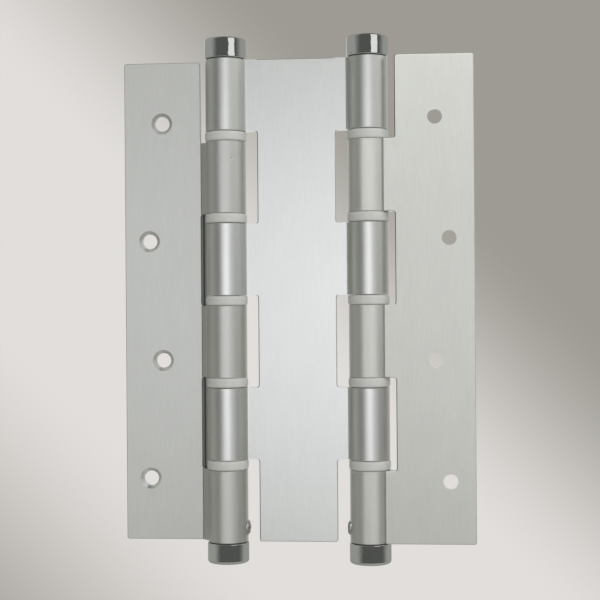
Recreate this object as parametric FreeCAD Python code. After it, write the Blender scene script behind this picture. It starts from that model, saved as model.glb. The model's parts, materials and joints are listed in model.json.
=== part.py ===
import FreeCAD
import Part
import math
import os

# Double-acting spring hinge, laid open flat.
# Three extruded aluminium leaves share two knuckled barrels. Each barrel holds a steel pivot tube with a
# torsion spring in it, five flanged bushes, a fixed plug at the top and a tension plug at the bottom.
# Millimetres. X runs across the leaves, Y points from the front to the back, Z is up, along the barrels.
# The origin is the middle of the centre leaf. But for two dents in the jamb leaf and the webs behind two of
# its slots, the hinge looks the same after a half turn about Z.

# Leaves
leaf_height = 180.0
leaf_thickness = 3.0
knuckle_count = 6
barrel_spacing = 53.2
barrel_diameter = 15.0
mount_face_offset = 5.7
outer_leaf_reach = 39.0
outer_notch_edge = 10.0
centre_notch_edge = 12.0
leaf_corner_radius = 0.8
notch_corner_radius = 1.0
edge_round = 0.3

# The slots beside two free knuckles of the jamb leaf, counted from 0 at the top, don't go through: a web with
# a slanting face stays at the back, and a groove parts it from the plate's edge
backed_slots = (2, 4)
slot_web_edge = 7.7
slot_web_front = 2.9
slot_groove_width = 0.55
slot_groove_edge = 4.2
slot_groove_floor = 4.7

# Centre leaf's webs and the knuckles' ends
web_fillet = 1.0
knuckle_chamfer = 0.2

# Screw holes of the outer leaves: two staggered rows, countersunk from the inner face
screw_hole_diameter = 5.5
countersink_diameter = 8.0
countersink_angle = 90.0
inner_row = 24.7
row_stagger = 5.0
end_hole_height = 67.0
middle_hole_height = 22.5

# Bushes between the knuckles
bush_flange_thickness = 3.7
bush_flange_diameter = 15.5
bush_rim_round = 1.1
bush_spigot_length = 6.0
bush_wall = 0.75

# Pivot tube and its bores
tube_diameter = 10.0
tube_wall = 0.7
tube_end_gap = 0.6

# Plugs and thrust washers at the barrel ends
cap_diameter = 15.5
cap_height = 7.55
top_cap_round = 0.9
tension_cap_round = 1.1
cap_lower_round = 0.3
thrust_washer_thickness = 0.3
thrust_washer_diameter = 14.2
top_shank_length = 12.0
tension_shank_length = 14.0
spring_slot_depth = 4.0
hex_socket_width = 5.0
hex_socket_depth = 4.5
tension_hole_count = 6
tension_hole_diameter = 2.6
tension_hole_depth = 3.4

# Stop screw, which locks the tension plug in the lowest knuckle of an outer leaf
screw_height_above_end = 5.2
screw_thread_diameter = 3.0
screw_head_diameter = 5.7
screw_head_height = 1.4
screw_head_crown = 2.6
screw_head_edge = 0.35
screw_tip_diameter = 2.4
screw_tip_depth = 2.0
screw_socket_width = 2.0
screw_socket_depth = 1.0
screw_shoulder_gap = 0.1
spot_face_depth = 0.5
spot_face_margin = 0.2

# Two small dents in the jamb leaf's knuckles: azimuth from the front towards +X, height, width and depth
dents = ((24.0, 52.4, 1.5, 0.15), (39.5, -74.9, 1.0, 0.08))

# Torsion spring of square wire
spring_wire = 2.0
spring_turns = 24
spring_end_gap = 0.4
tang_depth = 3.0

# Clearances, measured on the radius or face to face
seat_clearance = 0.02
running_clearance = 0.05
bush_end_play = 0.1
spring_clearance = 0.2
tang_clearance = 0.1

# Places worked out from the sizes above
half_height = leaf_height / 2
barrel_radius = barrel_diameter / 2
bush_gap = bush_flange_thickness + bush_end_play
knuckle_length = (leaf_height - (knuckle_count - 1) * bush_gap) / knuckle_count
knuckle_pitch = knuckle_length + bush_gap
inner_face_offset = mount_face_offset - leaf_thickness
tube_radius = tube_diameter / 2
tube_inner_radius = tube_radius - tube_wall
centre_bore_radius = tube_radius + seat_clearance
bush_inner_radius = tube_radius + running_clearance
bush_spigot_radius = bush_inner_radius + bush_wall
outer_bore_radius = bush_spigot_radius + seat_clearance
cap_base = half_height + thrust_washer_thickness
top_shank_radius = tube_inner_radius - seat_clearance
top_shank_end = half_height - top_shank_length
tension_shank_radius = outer_bore_radius - seat_clearance
tension_shank_end = -half_height + tension_shank_length
tube_bottom = tension_shank_end + tube_end_gap
spring_outer_radius = tube_inner_radius - spring_clearance
spring_slot_width = spring_wire + 2 * tang_clearance
screw_height = -half_height + screw_height_above_end
spot_face_radius = barrel_radius - spot_face_depth
spot_face_diameter = screw_head_diameter + 2 * spot_face_margin

Z_AXIS = FreeCAD.Vector(0, 0, 1)
Y_AXIS = FreeCAD.Vector(0, 1, 0)
X_AXIS = FreeCAD.Vector(1, 0, 0)
ORIGIN = FreeCAD.Vector(0, 0, 0)


def box(low, high):
    """A box between two corners."""
    low = FreeCAD.Vector(*low)
    size = FreeCAD.Vector(*high) - low
    return Part.makeBox(size.x, size.y, size.z, low)


def rod(radius, bottom, top):
    """A round bar along Z."""
    return Part.makeCylinder(radius, top - bottom, FreeCAD.Vector(0, 0, bottom))


def turned(profile):
    """A solid turned about Z from (radius, height) corners. A third value rounds that corner."""
    corners = [FreeCAD.Vector(point[0], 0, point[1]) for point in profile]
    edges = []
    starts = []
    ends = []
    for index, point in enumerate(profile):
        corner = corners[index]
        radius = point[2] if len(point) > 2 else 0.0
        to_last = (corners[index - 1] - corner).normalize()
        to_next = (corners[(index + 1) % len(corners)] - corner).normalize()
        starts.append(corner + to_last * radius)
        ends.append(corner + to_next * radius)
        if radius:
            # These corners are square, so the arc's middle lies along the bisector.
            inward = (to_last + to_next).normalize()
            middle = corner + inward * (radius * (math.sqrt(2) - 1))
            edges.append(Part.Arc(starts[-1], middle, ends[-1]).toShape())
    for index, start in enumerate(starts):
        if (start - ends[index - 1]).Length > 1e-7:
            edges.append(Part.makeLine(ends[index - 1], start))
    wire = Part.Wire(Part.__sortEdges__(edges))
    return Part.Face(wire).revolve(ORIGIN, Z_AXIS, 360)


def prism(points, bottom, top):
    """A straight prism along Z on an outline of (x, y) points."""
    corners = [FreeCAD.Vector(x, y, bottom) for x, y in points]
    return Part.Face(Part.makePolygon(corners + corners[:1])).extrude(Z_AXIS * (top - bottom))


def hexagon(width_across_flats, bottom, top):
    """A hexagonal prism along Z."""
    radius = width_across_flats / math.sqrt(3)
    corners = [math.radians(60 * step) for step in range(6)]
    return prism([(radius * math.cos(a), radius * math.sin(a)) for a in corners], bottom, top)


def knuckle_span(index):
    """Lowest and highest Z of a knuckle, counted from 0 at the top."""
    top = half_height - index * knuckle_pitch
    return top - knuckle_length, top


def placed(shape, side):
    """A piece made about a barrel axis, put on the jamb side or, turned half round, on the door side."""
    shape = shape.copy()
    if side == "door":
        shape.rotate(ORIGIN, Z_AXIS, 180)
    shape.translate(FreeCAD.Vector(barrel_spacing / 2 if side == "door" else -barrel_spacing / 2, 0, 0))
    return shape


def edges_along_y(shape, places):
    """The edges that run along Y at the given (x, z) places."""
    found = []
    for edge in shape.Edges:
        first, last = edge.Vertexes[0].Point, edge.Vertexes[-1].Point
        if abs(first.x - last.x) + abs(first.z - last.z) > 1e-6:
            continue
        if any(abs(first.x - x) + abs(first.z - z) < 1e-4 for x, z in places):
            found.append(edge)
    return found


def rounded_plate(plate, back, front, outer_corners, notch_corners):
    """The plate with its corners rounded, and a small round along the edges of both faces."""
    plate = plate.makeFillet(leaf_corner_radius, edges_along_y(plate, outer_corners))
    plate = plate.makeFillet(notch_corner_radius, edges_along_y(plate, notch_corners))
    rims = []
    for edge in plate.Edges:
        heights = [vertex.Point.y for vertex in edge.Vertexes]
        if all(abs(y - back) < 1e-6 for y in heights) or all(abs(y - front) < 1e-6 for y in heights):
            rims.append(edge)
    return plate.makeFillet(edge_round, rims)


def knuckle(bottom, top):
    """The outside of one knuckle, with a small chamfer at both ends."""
    body = rod(barrel_radius, bottom, top)
    rims = [edge for edge in body.Edges if isinstance(edge.Curve, Part.Circle)]
    return body.makeChamfer(knuckle_chamfer, rims)


def countersunk_hole(x, z, inner_face, mount_face):
    """The space of one screw hole along Y, with its countersink at the inner face."""
    through = mount_face - inner_face
    direction = Y_AXIS * math.copysign(1, through)
    start = FreeCAD.Vector(x, inner_face, z)
    hole = Part.makeCylinder(screw_hole_diameter / 2, abs(through), start, direction)
    half_tangent = math.tan(math.radians(countersink_angle / 2))
    depth = (countersink_diameter - screw_hole_diameter) / 2 / half_tangent
    sink = Part.makeCone(countersink_diameter / 2, screw_hole_diameter / 2, depth, start, direction)
    return hole.fuse(sink)


def screw_holes():
    """The four hole places of an outer leaf, as (distance from the barrel axis, height), from the top."""
    outer_row = inner_row + row_stagger
    heights = (end_hole_height, middle_hole_height, -middle_hole_height, -end_hole_height)
    return [(outer_row if index % 2 else inner_row, height) for index, height in enumerate(heights)]


def radial(shape, height):
    """A piece made along Z, laid along the stop screw's axis at a height, with Z 0 at the barrel axis."""
    shape = shape.copy()
    shape.rotate(ORIGIN, Y_AXIS, 90)
    shape.translate(FreeCAD.Vector(0, 0, height))
    return shape


def outer_leaf():
    """An outer leaf about its barrel axis: the plate lies towards -X and its mounting face looks to +Y."""
    spans = [knuckle_span(index) for index in range(1, knuckle_count, 2)]
    front, back = inner_face_offset, mount_face_offset
    plate = box((-outer_leaf_reach, front, -half_height), (-outer_notch_edge, back, half_height))
    notch_corners = []
    for bottom, top in spans:
        plate = plate.fuse(box((-outer_notch_edge, front, bottom), (-bush_spigot_radius, back, top)))
        notch_corners += [(-outer_notch_edge, bottom), (-outer_notch_edge, top)]
    plate = plate.removeSplitter()
    ends = (-half_height, half_height)
    outer_corners = [(-outer_leaf_reach, z) for z in ends]
    outer_corners += [(-outer_notch_edge, half_height)]
    plate = rounded_plate(plate, back, front, outer_corners, notch_corners)
    leaf = plate
    for bottom, top in spans:
        gusset = [(-outer_notch_edge, front + edge_round), (-outer_notch_edge, front), (-barrel_radius, 0)]
        gusset += [(0, 0), (0, front + edge_round)]
        leaf = leaf.fuse([knuckle(bottom, top), prism(gusset, bottom, top)])
    for bottom, top in spans:
        leaf = leaf.cut(rod(outer_bore_radius, bottom, top))
    for distance, height in screw_holes():
        leaf = leaf.cut(countersunk_hole(-distance, height, front, back))
    thread = rod(screw_thread_diameter / 2 + seat_clearance, 0, barrel_radius)
    spot_face = rod(spot_face_diameter / 2, spot_face_radius, barrel_radius + screw_head_height)
    leaf = leaf.cut([radial(thread, screw_height), radial(spot_face, screw_height)])
    return leaf.removeSplitter()


def slot_web(index):
    """The web left behind the slot beside a free knuckle, with the groove along the plate's edge."""
    back = mount_face_offset - edge_round
    groove_side = -outer_notch_edge + slot_groove_width
    outline = [
        (-outer_notch_edge, back),
        (-outer_notch_edge, slot_groove_floor),
        (groove_side, slot_groove_floor),
        (groove_side, slot_groove_edge),
        (-slot_web_edge, slot_web_front),
        (-slot_web_edge, back),
    ]
    return prism(outline, knuckle_span(index + 1)[1], knuckle_span(index - 1)[0])


def dent(azimuth, height, width, depth):
    """A ball that leaves a shallow round dent in the outside of a knuckle."""
    ball_radius = (width ** 2 / 4 + depth ** 2) / (2 * depth)
    reach = barrel_radius + ball_radius - depth
    angle = math.radians(azimuth)
    return Part.makeSphere(ball_radius, FreeCAD.Vector(reach * math.sin(angle), -reach * math.cos(angle), height))


def web_outline():
    """Outline of the web between the centre plate and a barrel at the origin, with hollow fillets."""
    half = leaf_thickness / 2
    centre = FreeCAD.Vector(-math.sqrt((barrel_radius + web_fillet) ** 2 - (half + web_fillet) ** 2),
                            half + web_fillet, 0)
    on_plate = FreeCAD.Vector(centre.x, half, 0)
    on_barrel = centre * (barrel_radius / (barrel_radius + web_fillet))
    towards = ((on_plate - centre) + (on_barrel - centre)).normalize()
    middle = centre + towards * web_fillet
    mirrored = [FreeCAD.Vector(p.x, -p.y, 0) for p in (on_plate, middle, on_barrel)]
    plate_end = FreeCAD.Vector(-centre_notch_edge, half, 0)
    plate_end_mirrored = FreeCAD.Vector(-centre_notch_edge, -half, 0)
    inside = FreeCAD.Vector(0, on_barrel.y, 0)
    inside_mirrored = FreeCAD.Vector(0, -on_barrel.y, 0)
    edges = [
        Part.makeLine(plate_end, on_plate),
        Part.Arc(on_plate, middle, on_barrel).toShape(),
        Part.makeLine(on_barrel, inside),
        Part.makeLine(inside, inside_mirrored),
        Part.makeLine(inside_mirrored, mirrored[2]),
        Part.Arc(mirrored[2], mirrored[1], mirrored[0]).toShape(),
        Part.makeLine(mirrored[0], plate_end_mirrored),
        Part.makeLine(plate_end_mirrored, plate_end),
    ]
    return Part.Face(Part.Wire(edges))


def centre_leaf():
    """The centre leaf: a flat plate with three knuckles on both of its sides."""
    spans = [knuckle_span(index) for index in range(0, knuckle_count, 2)]
    half = leaf_thickness / 2
    plate_edge = barrel_spacing / 2 - centre_notch_edge
    plate = box((-plate_edge, -half, -half_height), (plate_edge, half, half_height))
    web_end = barrel_spacing / 2 - bush_spigot_radius
    notch_corners = []
    for bottom, top in spans:
        plate = plate.fuse(box((-web_end, -half, bottom), (web_end, half, top)))
        heights = (bottom,) if top == half_height else (bottom, top)
        notch_corners += [(x, z) for x in (-plate_edge, plate_edge) for z in heights]
    plate = plate.removeSplitter()
    outer_corners = [(x, -half_height) for x in (-plate_edge, plate_edge)]
    leaf = rounded_plate(plate, half, -half, outer_corners, notch_corners)
    web = web_outline()
    for bottom, top in spans:
        side = web.copy()
        side.translate(FreeCAD.Vector(0, 0, bottom))
        side = side.extrude(Z_AXIS * (top - bottom))
        # A jamb-side barrel carries its web towards +X, so the outline made towards -X is the door side's.
        jamb_web = side.copy()
        jamb_web.rotate(ORIGIN, Z_AXIS, 180)
        jamb_web.translate(X_AXIS * (-barrel_spacing / 2))
        side.translate(X_AXIS * (barrel_spacing / 2))
        barrels = [placed(knuckle(bottom, top), name) for name in ("jamb", "door")]
        leaf = leaf.fuse(barrels + [jamb_web, side])
    bores = [placed(rod(centre_bore_radius, *span), name) for span in spans for name in ("jamb", "door")]
    return leaf.cut(bores).removeSplitter()


def bush(number):
    """Bush number 1 to 5 from the top. Its spigot sits in the outer leaf's knuckle, above or below it."""
    knuckle_above_is_outer = number % 2 == 0
    bottom_of_above = knuckle_span(number - 1)[0]
    top_of_below = knuckle_span(number)[1]
    seat, sense = (bottom_of_above, -1) if knuckle_above_is_outer else (top_of_below, 1)
    flange = bush_flange_diameter / 2
    body = turned([
        (bush_inner_radius, -bush_spigot_length),
        (bush_spigot_radius, -bush_spigot_length),
        (bush_spigot_radius, 0),
        (flange, 0, bush_rim_round),
        (flange, bush_flange_thickness, bush_rim_round),
        (bush_inner_radius, bush_flange_thickness),
    ])
    if sense < 0:
        body.rotate(ORIGIN, X_AXIS, 180)
    body.translate(Z_AXIS * seat)
    return body


def pivot_tube():
    """The steel tube that the knuckles turn on, fast in the centre leaf."""
    return rod(tube_radius, tube_bottom, half_height).cut(rod(tube_inner_radius, tube_bottom, half_height))


def thrust_washer(inner_radius, bottom):
    """A thin washer under a plug's head."""
    top = bottom + thrust_washer_thickness
    return rod(thrust_washer_diameter / 2, bottom, top).cut(rod(inner_radius, bottom, top))


def top_plug():
    """The plug that closes a barrel at the top and holds the spring's upper tang."""
    cap = cap_diameter / 2
    plug = turned([
        (0, top_shank_end),
        (top_shank_radius, top_shank_end),
        (top_shank_radius, cap_base),
        (cap, cap_base, cap_lower_round),
        (cap, cap_base + cap_height, top_cap_round),
        (0, cap_base + cap_height),
    ])
    return plug.cut(spring_slot(top_shank_radius, top_shank_end, 1))


def spring_slot(radius, end, sense):
    """The slot across a shank's end for the spring's tang, cut along Z from the end."""
    half_width = spring_slot_width / 2
    heights = sorted((end, end + sense * spring_slot_depth))
    return box((-radius, -half_width, heights[0]), (radius, half_width, heights[1]))


def tension_plug():
    """The plug at the bottom: a hex socket turns it against the spring, and the stop screw locks it."""
    cap = cap_diameter / 2
    cap_end = -cap_base - cap_height
    plug = turned([
        (0, cap_end),
        (cap, cap_end, tension_cap_round),
        (cap, -cap_base, cap_lower_round),
        (tension_shank_radius, -cap_base),
        (tension_shank_radius, tension_shank_end),
        (0, tension_shank_end),
    ])
    plug = plug.cut(spring_slot(tension_shank_radius, tension_shank_end, -1))
    plug = plug.cut(hexagon(hex_socket_width, cap_end, cap_end + hex_socket_depth))
    hole = rod(tension_hole_diameter / 2, tension_shank_radius - tension_hole_depth, tension_shank_radius)
    holes = []
    for step in range(tension_hole_count):
        drilled = radial(hole, screw_height)
        drilled.rotate(ORIGIN, Z_AXIS, 360 / tension_hole_count * step)
        holes.append(drilled)
    return plug.cut(holes)


def stop_screw():
    """The button-head screw through the knuckle's wall, with its tip in a hole of the tension plug."""
    head = screw_head_diameter / 2
    crown = screw_head_crown / 2
    base = spot_face_radius
    shoulder = tension_shank_radius + screw_shoulder_gap
    tip = tension_shank_radius - screw_tip_depth
    rim = FreeCAD.Vector(head, 0, base + screw_head_edge)
    top = FreeCAD.Vector(crown, 0, base + screw_head_height)
    # The dome is an arc that meets the flat crown without a crease.
    across, up = head - crown, screw_head_height - screw_head_edge
    dome_radius = (across ** 2 + up ** 2) / (2 * up)
    half_turn = math.asin(across / dome_radius) / 2
    dome_offset = FreeCAD.Vector(math.sin(half_turn), 0, math.cos(half_turn) - 1) * dome_radius
    bulge = top + dome_offset
    corners = [
        top,
        FreeCAD.Vector(0, 0, base + screw_head_height),
        FreeCAD.Vector(0, 0, tip),
        FreeCAD.Vector(screw_tip_diameter / 2, 0, tip),
        FreeCAD.Vector(screw_tip_diameter / 2, 0, shoulder),
        FreeCAD.Vector(screw_thread_diameter / 2, 0, shoulder),
        FreeCAD.Vector(screw_thread_diameter / 2, 0, base),
        FreeCAD.Vector(head, 0, base),
        rim,
    ]
    edges = [Part.makeLine(a, b) for a, b in zip(corners, corners[1:])]
    edges.append(Part.Arc(rim, bulge, top).toShape())
    screw = Part.Face(Part.Wire(edges)).revolve(ORIGIN, Z_AXIS, 360)
    top_of_head = base + screw_head_height
    screw = screw.cut(hexagon(screw_socket_width, top_of_head - screw_socket_depth, top_of_head))
    return radial(screw, screw_height)


def spring():
    """The torsion spring: square wire on a helix, with a tang across each end for the plugs' slots."""
    half = spring_wire / 2
    mean_radius = spring_outer_radius - half
    low = tension_shank_end + spring_end_gap + tube_end_gap + half
    high = top_shank_end - spring_end_gap - half
    pitch = (high - low) / spring_turns
    helix = Part.makeHelix(pitch, high - low, mean_radius)
    corners = [(mean_radius - half, -half), (mean_radius + half, -half),
               (mean_radius + half, half), (mean_radius - half, half)]
    corners = [FreeCAD.Vector(x, 0, z) for x, z in corners]
    section = Part.makePolygon(corners + corners[:1])
    coil = Part.Wire(helix.Edges).makePipeShell([section], True, True)
    coil.translate(Z_AXIS * low)
    reach = spring_outer_radius
    lower_tang = box((-reach, -half, tension_shank_end - tang_depth), (reach, half, low + half))
    upper_tang = box((-reach, -half, high - half), (reach, half, top_shank_end + tang_depth))
    return coil.fuse([lower_tang, upper_tang]).removeSplitter()


def build():
    """Every piece of the hinge by the name of its node."""
    pieces = {"centre_leaf": centre_leaf()}
    leaf = outer_leaf()
    jamb_leaf = leaf.fuse([slot_web(index) for index in backed_slots]).cut([dent(*place) for place in dents])
    pieces["jamb_leaf"] = placed(jamb_leaf.removeSplitter(), "jamb")
    pieces["door_leaf"] = placed(leaf, "door")
    for side in ("jamb", "door"):
        for number in range(1, knuckle_count):
            pieces[f"{side}_bush_{number}"] = placed(bush(number), side)
        pieces[side + "_pivot_tube"] = placed(pivot_tube(), side)
        pieces[side + "_top_washer"] = placed(
            thrust_washer(top_shank_radius + running_clearance, half_height), side)
        pieces[side + "_bottom_washer"] = placed(
            thrust_washer(tension_shank_radius + running_clearance, -cap_base), side)
        pieces[side + "_top_plug"] = placed(top_plug(), side)
        pieces[side + "_tension_plug"] = placed(tension_plug(), side)
        pieces[side + "_stop_screw"] = placed(stop_screw(), side)
        pieces[side + "_spring"] = placed(spring(), side)
    return pieces


os.makedirs("parts", exist_ok=True)
for name, shape in build().items():
    solids = shape.Solids
    solid = solids[0] if len(solids) == 1 else Part.makeCompound(solids)
    solid.exportStep(f"parts/{name}.step")
    print(name, "solids", len(solids), "valid", solid.isValid(), "volume", round(solid.Volume, 1))
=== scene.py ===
# %% [markdown]
# # A double-acting spring hinge in satin aluminium
# The hinge comes in as a finished CAD model: every piece has its real size and place. This script gives it
# its looks. It makes the finishes, swaps a few plain solids for finer meshes, and sets up a camera and soft
# light. Everything is in metres. X runs across the leaves, Y points away from the viewer and Z is up.

# %% Load the model
import json
import math

import bmesh
import bpy
import numpy as np
from mathutils import Matrix, Vector


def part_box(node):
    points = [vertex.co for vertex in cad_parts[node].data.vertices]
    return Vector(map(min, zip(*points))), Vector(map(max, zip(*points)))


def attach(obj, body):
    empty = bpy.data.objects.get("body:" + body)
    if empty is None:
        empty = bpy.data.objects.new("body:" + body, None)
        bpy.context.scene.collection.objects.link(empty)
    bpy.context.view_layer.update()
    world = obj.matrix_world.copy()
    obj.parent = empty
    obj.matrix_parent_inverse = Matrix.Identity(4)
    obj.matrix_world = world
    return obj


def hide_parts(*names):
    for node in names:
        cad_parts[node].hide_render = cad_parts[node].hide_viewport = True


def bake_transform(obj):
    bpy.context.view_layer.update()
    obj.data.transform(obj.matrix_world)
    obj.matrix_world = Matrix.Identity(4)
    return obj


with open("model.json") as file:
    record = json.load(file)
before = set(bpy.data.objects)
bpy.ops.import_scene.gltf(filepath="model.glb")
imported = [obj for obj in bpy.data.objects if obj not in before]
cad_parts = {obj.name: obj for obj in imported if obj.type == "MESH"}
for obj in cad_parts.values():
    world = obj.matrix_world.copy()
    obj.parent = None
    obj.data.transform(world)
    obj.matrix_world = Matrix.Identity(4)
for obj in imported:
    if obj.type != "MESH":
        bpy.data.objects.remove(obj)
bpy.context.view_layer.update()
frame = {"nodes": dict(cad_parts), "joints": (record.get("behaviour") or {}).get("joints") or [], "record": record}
nodes = frame["nodes"]
record = frame["record"]
body_of = {node: body for body, members in record["behaviour"]["bodies"].items() for node in members}
slot_of = {part["node"]: part["material_slot"] for part in record["subparts"]}
barrel_x = {joint["name"].split("_")[0]: joint["pos_m"][0] for joint in frame["joints"]}
MM = 0.001
print("pieces", len(nodes), "barrel axes at x", barrel_x)

# %% [markdown]
# ## The camera
# A photo taken close up shows perspective: the side that is nearer looks larger. The distance and the small
# turn to the right come from how much larger the right leaf is than the left one. The lens then follows from
# the size of the hinge in the picture. The camera is also rolled a little, because the photo is.

# %% Camera
CAMERA_AZIMUTH = 4.54
CAMERA_ELEVATION = -0.09
CAMERA_ROLL = 0.42
CAMERA_DISTANCE = 0.508
CAMERA_TARGET = Vector((0.0009, 0.0, 0.0))
CAMERA_LENS = 81.62
SENSOR = 36.0


def direction(azimuth, elevation):
    """Unit vector from the hinge towards an azimuth and elevation in degrees; 0, 0 is straight in front."""
    a = math.radians(azimuth)
    e = math.radians(elevation)
    return Vector((math.sin(a) * math.cos(e), -math.cos(a) * math.cos(e), math.sin(e)))


def aimed(back, roll=0.0):
    """Rotation of an object whose -Z axis points against back, turned by roll degrees about that axis."""
    right = Vector((0, 0, 1)).cross(back).normalized()
    up = back.cross(right)
    turn = math.radians(roll)
    side = right * math.cos(turn) - up * math.sin(turn)
    top = up * math.cos(turn) + right * math.sin(turn)
    return Matrix((side, top, back)).transposed().to_4x4()


camera = bpy.data.objects.new("camera", bpy.data.cameras.new("camera"))
bpy.context.scene.collection.objects.link(camera)
towards_camera = direction(CAMERA_AZIMUTH, CAMERA_ELEVATION)
camera_place = CAMERA_TARGET + towards_camera * CAMERA_DISTANCE
camera.matrix_world = Matrix.Translation(camera_place) @ aimed(towards_camera, CAMERA_ROLL)
camera.data.sensor_width = SENSOR
camera.data.lens = CAMERA_LENS
camera.data.clip_start = 0.01
bpy.context.scene.camera = camera
print("camera", [round(value, 4) for value in camera.location], "lens", CAMERA_LENS)

# %% [markdown]
# ## Shader maths as Python
# A material is a network of nodes, and a formula in it takes a Math node for each operator. The class below
# wraps one output socket, so that a formula can be written as an ordinary expression: `a * 2 + b` adds two
# Math nodes and links them. Every other kind of node comes from the one method `Graph.add`.

# %% Shader maths


class Signal:
    """One number or vector on its way through a node tree."""

    def __init__(self, graph, socket):
        self.graph = graph
        self.socket = socket

    def maths(self, operation, *others):
        return self.graph.add("ShaderNodeMath", dict(enumerate((self, *others))), operation=operation)

    def __add__(self, other):
        return self.maths("ADD", other)

    def __sub__(self, other):
        return self.maths("SUBTRACT", other)

    def __rsub__(self, other):
        return self.graph.add("ShaderNodeMath", {0: other, 1: self}, operation="SUBTRACT")

    def __mul__(self, other):
        return self.maths("MULTIPLY", other)

    __radd__ = __add__
    __rmul__ = __mul__

    def step(self, low, high):
        """0 below low, 1 above high, and a smooth rise between them."""
        inputs = {"Value": self, "From Min": low, "From Max": high}
        return self.graph.add("ShaderNodeMapRange", inputs, interpolation_type="SMOOTHSTEP")

    def between(self, low, high, blur):
        """1 between low and high, 0 outside, with a smooth rise and fall as wide as the blur."""
        return self.step(low, low + blur) * (1.0 - self.step(high, high + blur))


class Graph:
    """The node tree of a material or a world, emptied and ready for new nodes."""

    def __init__(self, owner):
        owner.use_nodes = True
        self.tree = owner.node_tree
        self.tree.nodes.clear()

    def add(self, kind, inputs=(), output=0, **settings):
        """Adds a node: its settings, then the values or links of its sockets. Returns one of its outputs."""
        node = self.tree.nodes.new(kind)
        for name, value in settings.items():
            setattr(node, name, value)
        for name, value in dict(inputs).items():
            if isinstance(value, Signal):
                self.tree.links.new(value.socket, node.inputs[name])
            else:
                node.inputs[name].default_value = value
        return Signal(self, node.outputs[output]) if node.outputs else node

    def axis(self, vector, letter):
        """One coordinate of a vector."""
        return self.add("ShaderNodeSeparateXYZ", {"Vector": vector}, output=letter)

    def place(self, across=1.0, along=1.0):
        """The point on the piece in its own coordinates, stretched across and along Z."""
        point = self.add("ShaderNodeTexCoord", output="Object")
        return self.add("ShaderNodeMapping", {"Vector": point, "Scale": (across, across, along)})

    def noise(self, vector, detail=2.0):
        """Smooth noise from 0 to 1, one cell for each unit of the vector."""
        return self.add("ShaderNodeTexNoise", {"Vector": vector, "Scale": 1.0, "Detail": detail})

    def tint(self, colour, factor):
        """A plain colour times a factor that may change over the surface."""
        return self.add("ShaderNodeVectorMath", {0: colour, "Scale": factor}, operation="SCALE")

    def blend(self, factor, first, second):
        """The first colour where the factor is 0, the second where it is 1."""
        colours = [value if isinstance(value, Signal) else (*value, 1.0) for value in (first, second)]
        return self.add("ShaderNodeMix", {0: factor, 6: colours[0], 7: colours[1]}, output=2, data_type="RGBA")

    def bump(self, height, strength, distance):
        return self.add("ShaderNodeBump", {"Height": height, "Strength": strength, "Distance": distance})


def linear(red, green, blue):
    """A colour from 0 to 255, as a picture editor shows it, in the linear values that shaders use."""
    values = np.array((red, green, blue)) / 255
    return tuple(np.where(values <= 0.04045, values / 12.92, ((values + 0.055) / 1.055) ** 2.4).tolist())


def surface(name, build, **constants):
    """A material from a function that returns the sockets which change over the surface."""
    material = bpy.data.materials.new(name)
    graph = Graph(material)
    varying = build(graph)
    shader = graph.add("ShaderNodeBsdfPrincipled", {**constants, **varying})
    graph.add("ShaderNodeOutputMaterial", {"Surface": shader})
    return material


print("shader maths ready")

# %% [markdown]
# ## Satin anodised aluminium
# The leaves are sawn from an aluminium extrusion. The die leaves fine lines along the length, etching
# softens them to a grain, and anodising seals them. A metal shows almost nothing but its reflections, so the
# finish is mostly in the roughness: layers of noise, stretched along Z, change it and the colour by a few
# percent. Cut faces are brighter, and the countersinks carry the rings of the tool that turned them, so the
# screw holes' places are read from the record, and the distance to the nearest hole's axis draws the rings.
# The edges of the slots that look left get painted shade as dark lines, and so do the narrow recesses behind
# two slots of the jamb leaf, where shade falls. Both get a darker colour, found from place and normal.
# The countersinks get painted light and shade: lighter where they look up and right, and darker across from there.

# %% Aluminium
ALUMINIUM = linear(225, 226, 221)
COUNTERSINK_RADIUS = 4.0 * MM
RING_SPACING = 0.22 * MM
KNUCKLES = 6
KNUCKLE_RADIUS = 7.5 * MM
BUSH_GAP = 3.8 * MM
EDGE_BAND = (9.7 * MM, 20 * MM)
RECESS_BAND = (8.7 * MM, 9.95 * MM)
RECESS_FRONT = 2.75 * MM
BLUR = 0.15 * MM
SLOT_EDGE_SHADE = 0.85
RECESS_SHADE = 0.6
COUNTERSINK_PAINTED_LIGHT = 0.38
RING_REACH = (3.0 * MM, 7.0 * MM)
GRAIN_CELLS = (3800, 1300)
STREAK_CELLS = (1700, 150)
BLOTCH_CELLS = (140, 70)
RING_CELLS = (40, 2600)


def hole_places(side):
    """The (x, z) places of one leaf's screw holes, from its bolt patterns."""
    places = []
    for mount in record["mounts"]:
        if mount["kind"] == "bolt_pattern" and mount["name"].startswith(side):
            half = mount["dims"]["spacing_y_mm"] * MM / 2
            x, _, z = mount["pos_m"]
            places += [(x, z - half), (x, z + half)]
    return places


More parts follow.
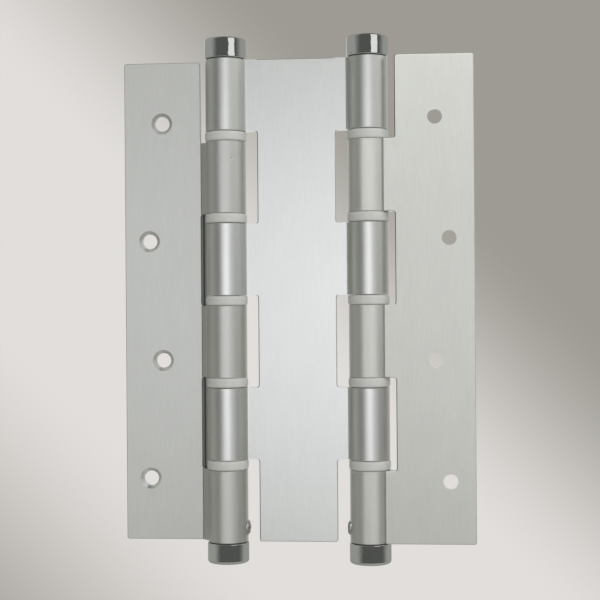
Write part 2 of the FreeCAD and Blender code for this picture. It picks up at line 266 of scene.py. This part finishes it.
def aluminium_finish(shade, roughness, holes):
    """Layers of noise, each with its cells per metre across and along the leaf, added up with small weights."""
    def build(graph):
        grain = graph.noise(graph.place(*GRAIN_CELLS), 2.0) - 0.5
        streak = graph.noise(graph.place(*STREAK_CELLS), 2.0) - 0.5
        blotch = graph.noise(graph.place(*BLOTCH_CELLS), 3.0) - 0.5
        point = graph.place()
        normal = graph.add("ShaderNodeTexCoord", output="Normal")
        sawn = graph.axis(normal, "Z").maths("ABSOLUTE").step(0.75, 0.95)

        # Fine rings lie around the knuckles near their machined ends, which repeat at one pitch.
        low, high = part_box("centre_leaf")
        pitch = (high.z - low.z + BUSH_GAP) / KNUCKLES
        to_gap = (graph.axis(point, "Z") - high.z - BUSH_GAP / 2).maths("PINGPONG", pitch / 2)
        off_axis = (graph.axis(point, "X").maths("ABSOLUTE") - max(barrel_x.values())).maths("ABSOLUTE")
        on_barrel = 1.0 - off_axis.step(KNUCKLE_RADIUS, KNUCKLE_RADIUS + BLUR)
        machined = (1.0 - to_gap.step(*RING_REACH)) * on_barrel
        rings = (graph.noise(graph.place(*RING_CELLS), 1.0) - 0.5) * machined

        # Painted shade: dark lines on slot edges that look left, and on what lies deep beside a barrel and faces
        # the front.
        frontward = (graph.axis(normal, "Y") * -1.0).step(0.1, 0.3)
        leftward = (graph.axis(normal, "X") * -1.0).step(0.02, 0.12) * off_axis.between(*EDGE_BAND, BLUR)
        deep = graph.axis(point, "Y").step(RECESS_FRONT, RECESS_FRONT + BLUR)
        recess = deep * off_axis.between(*RECESS_BAND, BLUR)
        dark = (1.0 - frontward * leftward * SLOT_EDGE_SHADE) * (1.0 - frontward * recess * RECESS_SHADE)

        # shade is a painted light level for the whole leaf.
        factor = grain * 0.07 + streak * 0.10 + blotch * 0.06 + rings * 0.10 + sawn * 0.06 + shade
        rough = grain * 0.05 + streak * 0.06 - sawn * 0.08 + roughness
        relief = grain * 0.5 + streak * 0.5 + rings
        if holes:
            across = graph.add("ShaderNodeVectorMath", {0: point, 1: (1, 0, 1)}, operation="MULTIPLY")
            nearest = None
            for x, z in holes:
                ends = {0: across, 1: (x, 0, z)}
                away = graph.add("ShaderNodeVectorMath", ends, output="Value", operation="DISTANCE")
                nearest = nearest.maths("MINIMUM", away) if nearest else away
            inside = 1.0 - nearest.step(COUNTERSINK_RADIUS * 0.98, COUNTERSINK_RADIUS * 1.02)
            turned = inside * (1.0 - graph.axis(normal, "Y").maths("ABSOLUTE").step(0.8, 0.95))
            wave = (nearest * (math.tau / RING_SPACING)).maths("SINE")
            # Painted light and shade on the countersinks: lighter where they face up and right, darker across from
            # there.
            up_right = graph.axis(normal, "X") + graph.axis(normal, "Z")
            factor = factor + turned * (up_right * COUNTERSINK_PAINTED_LIGHT + 0.05)
            rough = rough - turned * 0.10
            relief = relief + turned * wave * 0.25
        return {
            "Base Color": graph.tint(ALUMINIUM, factor * dark),
            "Roughness": rough,
            "Normal": graph.bump(relief, 0.25, 0.02 * MM),
        }
    return build


# Each leaf's shade is painted light: it lifts the centre leaf's colour and lowers the outer ones, standing in for
# the slightly different tilts of the real leaves.
LEAF_PAINTED_SHADE_AND_ROUGHNESS = {"jamb": (0.97, 0.42), "centre": (1.02, 0.40), "door": (0.97, 0.42)}
leaf_finishes = {}
for side, (shade, roughness) in LEAF_PAINTED_SHADE_AND_ROUGHNESS.items():
    finish = aluminium_finish(shade, roughness, hole_places(side))
    leaf_finishes[f"{side}_leaf"] = surface(f"satin_aluminium_{side}", finish, Metallic=1.0)
print("aluminium for", sorted(leaf_finishes), "holes", hole_places("jamb"))

# %% [markdown]
# ## Chrome, nylon and steel
# The caps are polished and plated, so they mirror what stands around them, with the faint waves that a
# polishing wheel leaves. The bushes are natural nylon: pale, a little greenish, and light sinks into it before
# it comes out again, which subsurface scattering gives. The washers are dark, and the screws are bright steel.

# %% Chrome, nylon and steel


def chrome_finish(graph):
    wave = graph.noise(graph.place(420, 260), 2.0)
    haze = graph.noise(graph.place(900, 900), 3.0)
    return {
        "Base Color": graph.tint(linear(228, 230, 229), haze * 0.08 + 0.94),
        "Roughness": haze * 0.10 + 0.02,
        "Normal": graph.bump(wave, 0.5, 0.16 * MM),
    }


def nylon_finish(colour):
    def build(graph):
        cloud = graph.noise(graph.place(500, 500), 3.0)
        grain = graph.noise(graph.place(4000, 4000), 2.0)
        return {
            "Base Color": graph.tint(colour, cloud * 0.10 + 0.95),
            "Roughness": grain * 0.15 + 0.38,
            "Normal": graph.bump(grain, 0.2, 0.03 * MM),
        }
    return build


def steel_finish(colour, roughness):
    def build(graph):
        cloud = graph.noise(graph.place(900, 900), 3.0)
        return {
            "Base Color": graph.tint(colour, cloud * 0.2 + 0.9),
            "Roughness": cloud * 0.15 + roughness,
            "Normal": graph.bump(cloud, 0.1, 0.03 * MM),
        }
    return build


SINK_IN = {"Subsurface Weight": 0.5, "Subsurface Scale": 1.2 * MM, "Subsurface Radius": (1.0, 0.95, 0.85)}
finishes = {
    "cap_chrome": surface("polished_chrome", chrome_finish, Metallic=1.0),
    "bush_nylon": surface("natural_nylon", nylon_finish(linear(217, 218, 214)), **SINK_IN),
    "washer_nylon": surface("dark_nylon", nylon_finish(linear(62, 62, 60))),
    "screw_steel": surface("zinc_steel", steel_finish(linear(196, 196, 194), 0.22), Metallic=1.0),
    "tube_steel": surface("drawn_steel", steel_finish(linear(170, 170, 170), 0.3), Metallic=1.0),
    "spring_steel": surface("spring_steel", steel_finish(linear(110, 110, 112), 0.35), Metallic=1.0),
}

for name, node in nodes.items():
    node.data.materials.clear()
    node.data.materials.append(leaf_finishes.get(name) or finishes[slot_of[name]])
print("finishes", sorted(material.name for material in bpy.data.materials))

# %% [markdown]
# ## Surfaces from grids
# Every new piece is a grid of points that closes up into a skin. The rows run along a profile and the columns
# run round the barrel. Numpy works out all the points at once from two arrays, and the faces join each point
# to its neighbours. Where all points of a row fall together, at a pole, merging them closes the skin.

# %% Surfaces from grids
SIDES = 144
AROUND = np.arange(SIDES) * math.tau / SIDES
MERGE = 1e-7
SHARP_ANGLE = math.radians(35)


def skin(name, points, closed_profile):
    """A mesh over points[row, column], joined round the columns and, if closed, from last row to first."""
    rows, columns = points.shape[:2]
    index = np.arange(rows * columns).reshape(rows, columns)
    below = index if closed_profile else index[:-1]
    above = np.roll(index, -1, axis=0) if closed_profile else index[1:]
    corners = (below, np.roll(below, -1, axis=1), np.roll(above, -1, axis=1), above)
    faces = np.stack(corners, axis=-1).reshape(-1, 4)
    mesh = bpy.data.meshes.new(name)
    mesh.from_pydata(points.reshape(-1, 3).tolist(), [], faces.tolist())
    shape = bmesh.new()
    shape.from_mesh(mesh)
    bmesh.ops.remove_doubles(shape, verts=shape.verts, dist=MERGE)
    bmesh.ops.recalc_face_normals(shape, faces=shape.faces)
    shape.to_mesh(mesh)
    shape.free()
    mesh.shade_smooth()
    mesh.set_sharp_from_angle(angle=SHARP_ANGLE)
    piece = bpy.data.objects.new(name, mesh)
    bpy.context.scene.collection.objects.link(piece)
    return piece


def turned_points(radius, height, centre):
    """centre + (radius cos t, radius sin t, height): a profile turned about Z. Both may be [row, column]."""
    radius = np.broadcast_to(np.reshape(radius, (len(radius), -1)), (len(radius), SIDES))
    height = np.broadcast_to(np.reshape(height, (len(height), -1)), radius.shape)
    points = np.stack((radius * np.cos(AROUND), radius * np.sin(AROUND), height), axis=-1)
    return points + np.array(centre)


def stands_for(piece, node):
    """The piece takes the node's place, body, slot and finish."""
    piece.data.materials.append(finishes[slot_of[node]])
    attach(piece, body_of[node])
    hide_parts(node)
    return piece


print("grid helpers ready, sides", SIDES)

# %% [markdown]
# ## Moulded bushes
# A moulded ring has no sharp turned corners: its rim swells like a cushion between the two knuckles. A
# superellipse gives that with one number. At 2 it is an ellipse, and the higher the number, the squarer it
# gets. The spigot behind it has a lead-in chamfer, so that it enters the knuckle's bore.

# %% Bushes
FLANGE = 3.7 * MM
RIM_DEPTH = 1.9 * MM
RIM_SQUARENESS = 4.6
RIM_ROWS = 25
BORE_RADIUS = 5.05 * MM
SPIGOT_RADIUS = 5.80 * MM
LEAD_IN = 0.25 * MM


def bush_profile(flange_radius, length):
    """Radius and height from the seat: rim |u|^n + |v|^n = 1 between the faces, then the spigot and bore."""
    turn = np.linspace(-math.pi / 2, math.pi / 2, RIM_ROWS)
    power = 2 / RIM_SQUARENESS
    rim_radius = flange_radius - RIM_DEPTH + RIM_DEPTH * np.abs(np.cos(turn)) ** power
    rim_height = FLANGE / 2 * (1 + np.sign(np.sin(turn)) * np.abs(np.sin(turn)) ** power)
    spigot = length - FLANGE
    rest = [
        (BORE_RADIUS + LEAD_IN, FLANGE), (BORE_RADIUS, FLANGE - LEAD_IN),
        (BORE_RADIUS, LEAD_IN - spigot), (BORE_RADIUS + LEAD_IN, -spigot),
        (SPIGOT_RADIUS - LEAD_IN, -spigot), (SPIGOT_RADIUS, 2 * LEAD_IN - spigot), (SPIGOT_RADIUS, 0),
    ]
    radius, height = np.array(rest).T
    return np.concatenate((rim_radius, radius)), np.concatenate((rim_height, height))


bushes = []
for side, axis_x in barrel_x.items():
    for number in range(1, KNUCKLES):
        node = f"{side}_bush_{number}"
        low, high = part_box(node)
        radius, height = bush_profile((high.x - low.x) / 2, high.z - low.z)
        flange_up = number % 2 == 1
        seat = high.z - FLANGE if flange_up else low.z + FLANGE
        height = height if flange_up else -height
        points = turned_points(radius, height, (axis_x, 0, seat))
        bushes.append(stands_for(skin(f"{node}_moulded", points, True), node))
print("bushes", len(bushes), "faces each", len(bushes[0].data.polygons))

# %% [markdown]
# ## Stop screws
# A button head is a dome with a hexagon socket, and the shank has a thread. All of it is one skin, made of
# rings along the screw's own axis. In the socket the radius follows a hexagon instead of a circle, and along
# the shank it rises and falls with height and angle together, which makes a helix.

# %% Stop screws
HEAD_RADIUS = 2.85 * MM
CROWN_RADIUS = 1.30 * MM
HEAD_HEIGHT = 1.40 * MM
HEAD_EDGE = 0.35 * MM
HEAD_SEAT = 7.0 * MM
SOCKET_WIDTH = 2.0 * MM
SOCKET_DEPTH = 1.0 * MM
SOCKET_CONE = 0.2 * MM
SOCKET_CHAMFER = 0.1 * MM
DOME_ROWS = 12
THREAD_RADIUS = 1.5 * MM
THREAD_PITCH = 0.5 * MM
THREAD_DEPTH = 0.27 * MM
THREAD_ROWS = 30
THREAD_MARGIN = 0.05 * MM
SHOULDER = 5.9 * MM
TIP_RADIUS = 1.2 * MM
TIP_END = 3.8 * MM


def hexagon(width):
    """Radius of a hexagon at each angle: half its width over the cosine of the turn from the nearest flat."""
    from_flat = np.mod(AROUND, math.pi / 3) - math.pi / 6
    return width / 2 / np.cos(from_flat)


def screw_points():
    """Rings from the socket's floor over the dome and down the threaded shank to the tip."""
    top = HEAD_SEAT + HEAD_HEIGHT
    floor = top - SOCKET_DEPTH
    socket = hexagon(SOCKET_WIDTH)
    rings = [(0, floor - SOCKET_CONE), (socket, floor)]
    rings += [(socket, top - SOCKET_CHAMFER), (socket + SOCKET_CHAMFER, top)]
    across, up = HEAD_RADIUS - CROWN_RADIUS, HEAD_HEIGHT - HEAD_EDGE
    dome_radius = (across ** 2 + up ** 2) / (2 * up)
    for turn in np.linspace(0, math.asin(across / dome_radius), DOME_ROWS):
        rings.append((CROWN_RADIUS + dome_radius * math.sin(turn), top - dome_radius * (1 - math.cos(turn))))
    rings += [(HEAD_RADIUS, HEAD_SEAT), (THREAD_RADIUS - THREAD_DEPTH, HEAD_SEAT)]
    for height in np.linspace(HEAD_SEAT - THREAD_MARGIN, SHOULDER + THREAD_MARGIN, THREAD_ROWS):
        wave = 0.5 - 0.5 * np.cos(math.tau * height / THREAD_PITCH - AROUND)
        rings.append((THREAD_RADIUS - THREAD_DEPTH * wave, height))
    rings += [(TIP_RADIUS, SHOULDER), (TIP_RADIUS, TIP_END + LEAD_IN)]
    rings += [(TIP_RADIUS - LEAD_IN, TIP_END), (0, TIP_END)]
    radius = np.array([np.broadcast_to(ring, SIDES) for ring, _ in rings])
    height = np.array([place for _, place in rings])
    return turned_points(radius, height, (0, 0, 0))


for side, axis_x in barrel_x.items():
    node = f"{side}_stop_screw"
    low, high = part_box(node)
    outward = np.array((-math.copysign(1.0, axis_x), 0.0, 0.0))
    across = np.array((0.0, 0.0, 1.0))
    upright = np.cross(outward, across)
    local = screw_points()
    points = local @ np.stack((across, upright, outward)) + np.array((axis_x, 0, (low.z + high.z) / 2))
    screw = stands_for(skin(f"{node}_threaded", points, False), node)
    reach = np.abs(np.array(screw.bound_box)[:, 0] - axis_x).max()
    print(node, "reaches", round(reach / MM, 2), "mm from the axis")

# %% [markdown]
# ## Torsion springs
# Each spring sits in its tube, with one tang in the top plug and one in the tension plug. On the real hinge, as
# it folds, the lower end stays with the outer leaf and the upper end with the centre leaf, and the coils share
# the twist between them. The CAD's mesh is loose triangles, so a copy of the spring, merged into one skin,
# takes its place.


def merged_copy(mesh):
    """A copy of a CAD mesh with the corners that fall together joined."""
    copy = mesh.copy()
    shape = bmesh.new()
    shape.from_mesh(copy)
    bmesh.ops.remove_doubles(shape, verts=shape.verts, dist=MERGE)
    shape.to_mesh(copy)
    shape.free()
    return copy


for side, axis_x in barrel_x.items():
    node = f"{side}_spring"
    low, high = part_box(node)
    spring = bpy.data.objects.new(f"{node}_wound", merged_copy(nodes[node].data))
    bpy.context.scene.collection.objects.link(spring)
    spring.matrix_world = nodes[node].matrix_world
    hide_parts(node)
    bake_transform(spring)

# %% [markdown]
# ## Light
# Satin metal spreads a reflection over some thirty degrees, so it only says roughly where the light is. Three
# lamps do most of it: a window on the left, a wide softbox in front and a bright wall on the right. On the real
# hinge the three leaves are not quite in one plane, and each shows another part of the studio: the centre leaf
# is brightest halfway up, the right one at its ends. Here they are flat, so each gets its own levels and
# accents, through light linking, where a lamp names the collection that it lights. The mirror-bright caps have
# one lamp to themselves, which shows in them as a white strip. A lamp's place is two azimuths and two
# elevations in degrees, seen from the hinge, and its level is how bright its surface looks.

# %% Lamps
WHITE_LIGHT = (1.0, 1.0, 1.0)
COOL_LIGHT = (0.98, 1.0, 1.1)
LAMP_PLACES = {
    "window": (-35, -10, -50, 50),
    "front": (-5, 50, -50, 50),
    "side": (50, 110, 0, 70),
    "belt": (-20, 20, -10, 10),
    "high": (-20, 20, 30, 60),
    "low": (-20, 20, -45, -20),
    "rear": (140, 220, -30, 50),
    "strip": (25, 60, 0, 45),
}
LEVELS = {
    "jamb": {"window": 0.6, "front": 0.5, "side": 0.7, "belt": 0.6},
    "centre": {"window": 0.2, "front": 0.5, "side": 0.6, "belt": 1.4},
    "door": {"window": 0.8, "front": 0.7, "side": 0.7, "high": 2.0, "low": 2.0},
    "back": {"rear": 0.3},
    "bushes": {"window": 1.0, "front": 1.1, "side": 1.0},
    "caps": {"strip": 0.8},
}
LAMP_DISTANCE = 1.2


def group(name, pieces):
    """A collection that holds the pieces which some lamps light."""
    collection = bpy.data.collections.new(name)
    for piece in pieces:
        collection.objects.link(piece)
    return collection


def softbox(name, left, right, bottom, top, radiance, colour, lit):
    """A rectangular lamp between two azimuths and two elevations. Its power gives its surface that radiance."""
    lamp = bpy.data.lights.new(name, "AREA")
    lamp.shape = "RECTANGLE"
    lamp.size = 2 * LAMP_DISTANCE * math.tan(math.radians(right - left) / 2)
    lamp.size_y = 2 * LAMP_DISTANCE * math.tan(math.radians(top - bottom) / 2)
    lamp.energy = radiance * math.pi * lamp.size * lamp.size_y
    lamp.color = colour
    holder = bpy.data.objects.new(name, lamp)
    bpy.context.scene.collection.objects.link(holder)
    back = direction((left + right) / 2, (bottom + top) / 2)
    holder.matrix_world = Matrix.Translation(back * LAMP_DISTANCE) @ aimed(back)
    holder.visible_camera = False
    holder.light_linking.receiver_collection = lit


print("lamps at", sorted(LAMP_PLACES))

# %% [markdown]
# ## Floor
# The photo has no floor, but other views need something under the hinge. A pale disc well below it does that,
# outside the picture.

# %% Floor
PLAIN = linear(218, 216, 211)
FLOOR_DROP = 0.25
FLOOR_RADIUS = 0.6


def floor_points():
    """A disc: radius times (cos t, sin t), below the hinge."""
    return turned_points(np.array((0.0, FLOOR_RADIUS)), np.array((-FLOOR_DROP, -FLOOR_DROP)), (0, 0, 0))


floor = skin("floor", floor_points(), False)
floor.data.materials.append(surface("pale_floor", lambda graph: {"Base Color": (*PLAIN, 1.0)}, Roughness=0.7))
print("floor", FLOOR_DROP, "m below, radius", FLOOR_RADIUS)

# %% [markdown]
# ## Which lamp lights what
# Every piece belongs to one of five groups: the three leaves with their small parts, the bushes, and the
# mirror-bright caps. The lamp at the back lights all of them but the caps. The floor is lit with the centre
# leaf.

# %% Lamps in place
shown = [piece for piece in bpy.context.scene.collection.all_objects if piece.type == "MESH"]
mirrors = [piece for piece in shown if finishes["cap_chrome"] in list(piece.data.materials)]
satin = [piece for piece in shown if piece not in mirrors and piece not in bushes]
lit_by = {side: [piece for piece in satin if piece.name.startswith(side)] for side in ("jamb", "door")}
lit_by["centre"] = [piece for piece in satin if not piece.name.startswith(("jamb", "door"))]
lit_by["back"] = satin + bushes
lit_by["bushes"] = bushes
lit_by["caps"] = mirrors
for name, levels in LEVELS.items():
    lit = group(f"{name}_pieces", lit_by[name])
    for lamp, level in levels.items():
        colour = COOL_LIGHT if lamp == "belt" else WHITE_LIGHT
        softbox(f"{name}_{lamp}_softbox", *LAMP_PLACES[lamp], level, colour, lit)

# %% [markdown]
# ## World
# The world is what the camera sees behind the hinge and what the polished pieces mirror. Behind the hinge it is
# the pale ground of the photo, with a slanting shade. Everywhere else it is a plain studio: pale walls left and
# right, and a dark front where the camera stands. The camera sees a plain tone there instead.

# %% World
PALE = linear(225, 222, 219)
GREY = linear(158, 155, 148)
TINT = (0.98, 1.0, 0.94)
WALL_LEVEL = 0.35
DARK_LEVEL = 0.10
DARK_FRONT = (-80, 65)
DARK_FADE = 45
SIDE_WIDTH = 0.80
BACK_WIDTH = 0.92
PALE_FROM = (-1.15, -0.5)
PALE_TO = (-0.1, 0.45)


def backdrop(graph, look):
    """The pale ground behind the hinge, darker at the top right and bottom left along slanting bands."""
    x, z = graph.axis(look, "X"), graph.axis(look, "Z")
    slant = (x + z + math.sin(math.radians(CAMERA_AZIMUTH))) * (CAMERA_LENS / SENSOR)
    hump = slant.step(*PALE_FROM) * (1.0 - slant.step(*PALE_TO))
    return graph.blend(hump, GREY, PALE)


def studio(graph, look):
    """Pale walls left and right, and a dark front: wall - (wall - dark) * (1 where the azimuth is in front)."""
    azimuth = graph.axis(look, "X").maths("ARCTAN2", graph.axis(look, "Y") * -1.0)
    low, high, fade = (math.radians(angle) for angle in (*DARK_FRONT, DARK_FADE))
    front = azimuth.between(low, high, fade)
    return graph.tint(TINT, front * (DARK_LEVEL - WALL_LEVEL) + WALL_LEVEL)


world = bpy.data.worlds.new("studio")
bpy.context.scene.world = world
graph = Graph(world)
look = graph.add("ShaderNodeTexCoord", output="Generated")
behind = graph.axis(look, "Y").step(SIDE_WIDTH, BACK_WIDTH)
seen = graph.blend(behind, PLAIN, backdrop(graph, look))
around = graph.blend(behind, studio(graph, look), backdrop(graph, look))
camera_ray = graph.add("ShaderNodeLightPath", output="Is Camera Ray")
shine = graph.add("ShaderNodeBackground", {"Color": graph.blend(camera_ray, around, seen), "Strength": 1.0})
graph.add("ShaderNodeOutputWorld", {"Surface": shine})
print("world", len(graph.tree.nodes), "nodes")

# %% [markdown]
# ## Finish
# The Standard view shows colours as they are, with no film curve.

# %% Finish
bpy.context.scene.view_settings.view_transform = "Standard"
